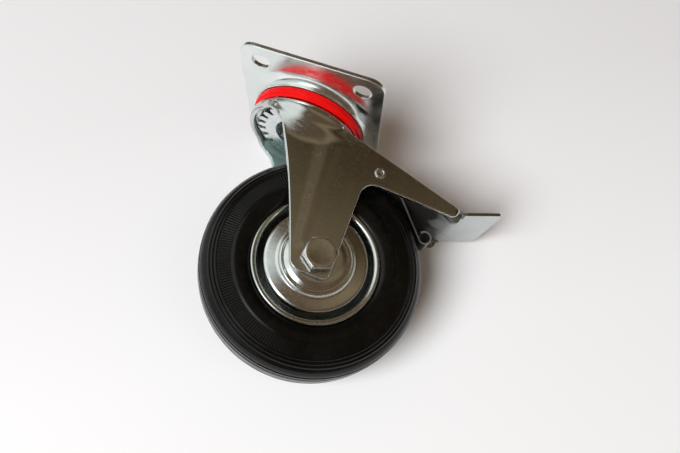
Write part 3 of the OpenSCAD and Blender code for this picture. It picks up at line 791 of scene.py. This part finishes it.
BEND = on_web(96.5)
REAR = BEND + 4.5 * PAD_U
TIP = BEND + 29.5 * PAD_U


def along(path, n):
    """n + 1 points at even steps along a path."""
    lengths = [(b - a).length for a, b in zip(path, path[1:])]
    total, out = sum(lengths), []
    for i in range(n + 1):
        left, k = total * i / n, 0
        while k < len(lengths) - 1 and left > lengths[k]:
            left -= lengths[k]
            k += 1
        out.append(lerp(path[k], path[k + 1], min(1.0, left / max(lengths[k], 1e-9))))
    return out


def pedal_half(length, width):
    """Half of the channel's section: web, fold and side wall, as distances out and down."""
    fold = min(FOLD_R, 0.75 * length)
    half = [(y * (width - fold) / 6, 0.0) for y in range(7)]
    for a in (0.26, 0.52, 0.79, 1.05, 1.31, 1.57):
        half.append((width - fold + fold * math.sin(a), fold - fold * math.cos(a)))
    return half + [(width, lerp(fold, length, k / 6)) for k in range(1, 7)]


def pedal_sheet():
    """The channel and the pad as sections across a path, each from the web to the wall's lower edge."""
    front = Vector((BEND.x - 6, ARM_LOW + 1.7))
    pad_bend = bezier(BEND + Vector((-4, 4 * ARM_SLOPE)), BEND, REAR, 8)
    boss = [Vector((x, PIVOT.y - math.sqrt(max(BOSS_R ** 2 - (x - PIVOT.x) ** 2, 0))))
            for x in (43.2, 44.5, 46, 48.5, 51)]
    round_end = TIP - PAD_CORNER * PAD_U
    spans = [
        ([on_web(41), on_web(51)], [Vector((41, PIVOT.y - 2))] + boss, 8),
        ([on_web(51), on_web(89)], [boss[-1], Vector((56.5, ARM_LOW + 1.4)), front], 20),
        ([on_web(89)] + pad_bend, bezier(front, (BEND.x + 6, ARM_LOW - 6), REAR, 20), 20),
        ([REAR, round_end], [REAR, round_end], 12),
        ([round_end, TIP], [round_end, TIP], 6),
    ]
    stations = []
    for top, edge, n in spans:
        pairs = list(zip(along(top, n), along(edge, n)))
        stations += pairs if not stations else pairs[1:]
    points = []
    for top, edge in stations:
        length = (edge - top).length
        down = (edge - top).normalized() if length > 1e-6 else PAD_N
        past = min(max((top - round_end).dot(PAD_U), 0.0), PAD_CORNER)
        half = pedal_half(length, WALL_Y - PAD_CORNER + math.sqrt(PAD_CORNER ** 2 - past ** 2))
        section = [(-y, d) for y, d in reversed(half[1:])] + half
        points += [from_fork(top.x + down.x * d, y, top.y + down.y * d) for y, d in section]
    return points, grid(len(stations), len(points) // len(stations))


def tongue_sheet():
    slope = (web_z(TONGUE_FOOT_X) - TONGUE_Z) / (TONGUE_FOOT_X - TONGUE_X)
    half = [(TONGUE_X, 0.6), (TONGUE_X + 0.3, 1.0), (34.5, 1.0), (35.3, 1.7), (36.2, 5.4), (37, 6), (44, 6)]
    flat, faces = filled([spaced(half + [(x, -y) for x, y in reversed(half)], 1.2)], [])
    return [from_fork(p.x, p.y, TONGUE_Z + slope * (p.x - TONGUE_X)) for p in flat], faces


def add_rubber_dust_and_shade(material):
    """Black dust worn off the tyre together with painted shade between the tyre and the brake, thickest beside
    the tread and on what faces it.
    """
    dust_and_shade_black, thick_to, none_from = (0.014, 0.013, 0.012), 0.079, 0.090
    tree = material.node_tree
    shader = tree.nodes["Principled BSDF"]
    coords = coordinates(tree)
    middle, axis = from_fork(AXLE.x, 0, AXLE.y) / 1000, from_fork(0, 1, 0)
    arm = add_node(tree, "ShaderNodeVectorMath", {0: coords, 1: middle}, operation="SUBTRACT").outputs[0]
    facing = add_node(tree, "ShaderNodeVectorMath", {0: arm, 1: coordinates(tree, "Normal")},
                      operation="DOT_PRODUCT").outputs["Value"]
    arm = add_node(tree, "ShaderNodeVectorMath", {0: arm, 1: axis}, operation="CROSS_PRODUCT").outputs[0]
    away = add_node(tree, "ShaderNodeVectorMath", {0: arm}, operation="LENGTH").outputs["Value"]
    away = maths(tree, "ADD", away, spread(tree, noise(tree, coords, 160), 0.3, 0.7, -0.0015, 0.0015))
    # Dust and painted shade: faces near the tread and turned to it grow black, rough and barely metallic.
    dust = spread(tree, away, thick_to, none_from, 1.0, 0.0)
    dust = maths(tree, "MULTIPLY", dust, spread(tree, facing, -0.02, 0.03, 1.0, 0.0))
    clean, level = (shader.inputs[name].links[0].from_socket for name in ("Base Color", "Roughness"))
    tree.links.new(blend_colour(tree, dust, clean, dust_and_shade_black), shader.inputs["Base Color"])
    level = maths(tree, "MAXIMUM", level, maths(tree, "MULTIPLY", dust, 0.6))
    tree.links.new(level, shader.inputs["Roughness"])
    tree.links.new(spread(tree, dust, 0.0, 1.0, 1.0, 0.1), shader.inputs["Metallic"])


pedal_zinc = zinc_material("pedal_zinc", (0.56, 0.59, 0.59), (0.49, 0.53, 0.53), 0.2, 0.05, (0.9, 0.2, 0.1))
add_rubber_dust_and_shade(pedal_zinc)
pedal = new_piece("brake_channel", *pedal_sheet(), "pedal", "zinc_sheet", ["brake_pedal"], pedal_zinc, False)
thicken(pedal, PEDAL_T, 0.3)
tongue = new_piece("lock_tongue", *tongue_sheet(), "pedal", "zinc_sheet", [], pedal_zinc, False)
thicken(tongue, PEDAL_T, 0.3)

# Brake shoe
# A strip of spring steel under the pedal's web, held by two rivets, with its end rolled into a tube.
# The roll moves towards the tread when the pedal goes down.

SHOE_T, SHOE_HALF_W, ROLL_R = 1.2, 5.5, 3.1
ROLL_ANGLE = math.radians(37.8)
ROLL_C = AXLE + 69.7 * Vector((math.cos(ROLL_ANGLE), math.sin(ROLL_ANGLE)))
SHOE_P = on_web(68.0) - Vector((0, PEDAL_T / math.cos(ARM_ANGLE)))
SHOE_SLOPE = Vector((math.cos(ARM_ANGLE), -math.sin(ARM_ANGLE)))
SHOE_RIVET_R, SHOE_RIVETS_BACK = 1.6, (4.12, 9.79)


def shoe_sheet():
    """The strip's path, flat under the web, then straight to the roll and round it."""
    reach = ROLL_C - SHOE_P
    turn = math.atan2(reach.y, reach.x) - math.asin(ROLL_R / reach.length)
    run = math.sqrt(reach.length_squared - ROLL_R * ROLL_R)
    way = Vector((math.cos(turn), math.sin(turn)))
    path = [SHOE_P - 13 * SHOE_SLOPE, SHOE_P - 5 * SHOE_SLOPE]
    path += bezier(SHOE_P - 1.6 * SHOE_SLOPE, SHOE_P, SHOE_P + 1.6 * way, 6)
    path += [SHOE_P + way * run * t for t in (0.3, 0.6, 0.9)]
    path += arc(ROLL_C, ROLL_R, math.degrees(turn) - 90, math.degrees(turn) + 200, 36)
    points, across = [], 6
    for p in path:
        points += [from_fork(p.x, lerp(-SHOE_HALF_W, SHOE_HALF_W, k / across), p.y) for k in range(across + 1)]
    return points, grid(len(path), across + 1)


def shoe_rivet_place(back):
    """Heights run up from the shoe's upper face, square to the web."""
    foot = SHOE_P - back * SHOE_SLOPE
    rise = Vector((-SHOE_SLOPE.y, SHOE_SLOPE.x))

    def place(r, h, turn):
        p = foot + rise * h + SHOE_SLOPE * r * math.cos(turn)
        return from_fork(p.x, r * math.sin(turn), p.y)

    return place


shoe_steel = steel_material("shoe_steel", (0.62, 0.61, 0.59), (0.50, 0.49, 0.47), 0.26)
add_rubber_dust_and_shade(shoe_steel)
shoe = new_piece("brake_strip", *shoe_sheet(), "pedal", "bright_steel", ["brake_shoe"], shoe_steel, False)
thicken(shoe, SHOE_T, 0.2)
shoe_rivet_profile = rounded([
    (0, PEDAL_T + 0.9), (1.6, PEDAL_T + 0.85), (2.5, PEDAL_T + 0.4), (2.8, PEDAL_T), (SHOE_RIVET_R, PEDAL_T),
    (SHOE_RIVET_R, -SHOE_T), (2.8, -SHOE_T), (2.4, -SHOE_T - 0.6), (1.5, -SHOE_T - 0.9), (0, -SHOE_T - 0.9),
], 0.25)
shoe_rivet_pair = joined([lathe(shoe_rivet_profile, shoe_rivet_place(back), 36) for back in SHOE_RIVETS_BACK])
new_piece("shoe_rivet_pair", *shoe_rivet_pair, "pedal", "bright_steel", ["shoe_rivets"], shoe_steel)

# Studio
# The castor rests on its side on a plain pale table, as in the photograph. A large soft lamp low on the left,
# a weak warm one on the right and a dim warm room light it; cards stand where only reflections see them.

SQUARE = ((-1, -1), (1, -1), (1, 1), (-1, 1))
TABLE_AT, TABLE_HALF = Vector((0.025, 0.0491, -0.05)), 3.0
TABLE_UP = Vector((0, -0.997, 0.078)).normalized()
LAMP_TARGET = Vector((0.03, 0, -0.05))
CARD_MIDDLE = Vector((0.03, 0, -0.06))


def mixed_surface(tree, share, first, second, output):
    """Links two shaders, mixed by a share, to an output node."""
    mix = add_node(tree, "ShaderNodeMixShader", {0: share, 1: first.outputs[0], 2: second.outputs[0]})
    tree.links.new(mix.outputs[0], tree.nodes[output].inputs["Surface"])


def table_material():
    """Matt pale paper with painted shade, a little darker towards the upper left, and clear from below."""
    near_white, painted_shade_white = (0.94, 0.945, 0.955), (0.86, 0.865, 0.875)
    material, tree, shader = new_material("table_paper")
    coords = coordinates(tree)
    part = add_node(tree, "ShaderNodeSeparateXYZ", {0: coords}).outputs
    slant = maths(tree, "SUBTRACT", part["Z"], maths(tree, "MULTIPLY", part["X"], 0.6))
    # Painted shade: the paper's colour grows darker towards the upper left.
    paper = blend_colour(tree, spread(tree, slant, -0.16, 0.06, 0.0, 1.0), near_white, painted_shade_white)
    tree.links.new(paper, shader.inputs["Base Color"])
    shader.inputs["Specular IOR Level"].default_value = 0.2
    tree.links.new(spread(tree, noise(tree, coords, 300), 0.3, 0.7, 0.55, 0.7), shader.inputs["Roughness"])
    behind = add_node(tree, "ShaderNodeNewGeometry").outputs["Backfacing"]
    mixed_surface(tree, behind, shader, add_node(tree, "ShaderNodeBsdfTransparent"), "Material Output")
    return material


table_x = Vector((1, 0, 0))
table_z = TABLE_UP.cross(table_x)
table_mesh = bpy.data.meshes.new("table")
table_corners = [TABLE_AT + TABLE_HALF * (a * table_x + b * table_z) for a, b in SQUARE]
table_mesh.from_pydata(table_corners, [], [(0, 1, 2, 3)])
table_mesh.materials.append(table_material())
table = bpy.data.objects.new("table", table_mesh)
bpy.context.scene.collection.objects.link(table)


def light_room(colour, strength, backdrop):
    """A dim room for the object; the camera, and mirrors turned to the back, see a pale backdrop."""
    world = bpy.data.worlds.new("room")
    bpy.context.scene.world = world
    world.use_nodes = True
    tree = world.node_tree
    room = tree.nodes["Background"]
    room.inputs["Color"].default_value = (*colour, 1)
    room.inputs["Strength"].default_value = strength
    pale = add_node(tree, "ShaderNodeBackground", {"Color": (*backdrop, 1), "Strength": 1.0})
    ray = add_node(tree, "ShaderNodeLightPath").outputs
    way = add_node(tree, "ShaderNodeSeparateXYZ", {0: coordinates(tree, "Generated")}).outputs
    mirrored = maths(tree, "MULTIPLY", ray["Is Glossy Ray"], spread(tree, way["Y"], 0.0, 0.3, 0.0, 1.0))
    seen = maths(tree, "MAXIMUM", ray["Is Camera Ray"], ray["Is Transmission Ray"])
    mixed_surface(tree, maths(tree, "MAXIMUM", seen, mirrored), room, pale, "World Output")


def soft_lamp(name, place, size, power, colour):
    """A round area lamp that mirror reflections don't see."""
    lamp = bpy.data.lights.new(name, "AREA")
    lamp.shape = "DISK"
    lamp.size = size
    lamp.energy = power
    lamp.color = colour
    piece = bpy.data.objects.new(name, lamp)
    bpy.context.scene.collection.objects.link(piece)
    piece.location = place
    piece.visible_glossy = False
    piece.rotation_euler = (LAMP_TARGET - Vector(place)).to_track_quat("-Z", "Y").to_euler()


def reflected_card(name, way, far, half, upper, lower, strength=1.0):
    """A card that only mirror reflections see, with a fading rim; its tone drifts from top to bottom."""
    mesh = bpy.data.meshes.new(name)
    mesh.from_pydata([(half * a, half * b, 0) for a, b in SQUARE], [], [(0, 1, 2, 3)])
    card = bpy.data.objects.new(name, mesh)
    bpy.context.scene.collection.objects.link(card)
    way = Vector(way).normalized()
    card.location = CARD_MIDDLE + far * way
    card.rotation_euler = way.to_track_quat("Z", "Y").to_euler()
    paint, tree, _ = new_material(name)
    coords = coordinates(tree)
    part = add_node(tree, "ShaderNodeSeparateXYZ", {0: coords}).outputs
    height = maths(tree, "ADD", part["Y"], spread(tree, noise(tree, coords, 5.0), 0.35, 0.65, -0.03, 0.03))
    height = maths(tree, "ADD", height, spread(tree, part["X"], -0.42, -0.22, -0.12, 0.0))
    shade = blend_colour(tree, spread(tree, height, -0.2, 0.1, 1.0, 0.0), upper, lower)
    glow = add_node(tree, "ShaderNodeEmission", {"Color": shade, "Strength": strength})
    out = add_node(tree, "ShaderNodeVectorMath", {0: coords}, operation="LENGTH").outputs["Value"]
    fade = spread(tree, out, 0.6 * half, half, 0.0, 1.0)
    mixed_surface(tree, fade, glow, add_node(tree, "ShaderNodeBsdfTransparent"), "Material Output")
    mesh.materials.append(paint)
    card.visible_camera = False
    card.visible_diffuse = False
    card.visible_shadow = False
    card.visible_transmission = False


light_room((1.0, 0.64, 0.40), 0.115, (0.93, 0.94, 0.95))
soft_lamp("key_lamp", (-0.95, -2.55, -1.85), 2.0, 135.0, (0.955, 0.98, 1.0))
soft_lamp("fill_lamp", (1.0, -1.6, -0.3), 0.9, 2.0, (1.0, 0.88, 0.76))
reflected_card("dark_card", (0.44, -0.80, 0.40), 0.8, 0.62, (0.052, 0.033, 0.016), (0.21, 0.16, 0.095))
reflected_card("pale_card", (-0.58, -0.82, -0.05), 0.9, 0.62, (0.97, 1.0, 0.99), (0.90, 0.94, 0.92))
reflected_card("left_card", (-0.92, -0.38, -0.10), 0.9, 0.6, (0.75, 0.78, 0.77), (0.70, 0.74, 0.73))
reflected_card("window_card", (-0.29, -0.775, -0.56), 0.75, 0.18, (0.96, 0.98, 1.0), (0.96, 0.98, 1.0), 3.5)
reflected_card("low_card", (-0.42, -0.60, -0.68), 1.0, 0.55, (0.66, 0.70, 0.69), (0.60, 0.64, 0.63))

# Camera
# Low on the open side of the castor, looking up at the underside of the plate.
# Its place and lens come from a pinhole camera fitted to the plate in the photograph.

lens = bpy.data.cameras.new("camera")
lens.lens = 39.156
lens.sensor_width = 36
lens.clip_start = 0.01
camera = bpy.data.objects.new("camera", lens)
bpy.context.scene.collection.objects.link(camera)
right, up = Vector((0.94451, -0.0239, 0.32761)), Vector((-0.3097, -0.39718, 0.86391))
pose = Matrix((right, up, right.cross(up))).transposed().to_4x4()
pose.translation = Vector((0.08607, -0.38569, -0.22723))
camera.matrix_world = pose
bpy.context.scene.camera = camera
bpy.context.scene.view_settings.view_transform = "Standard"
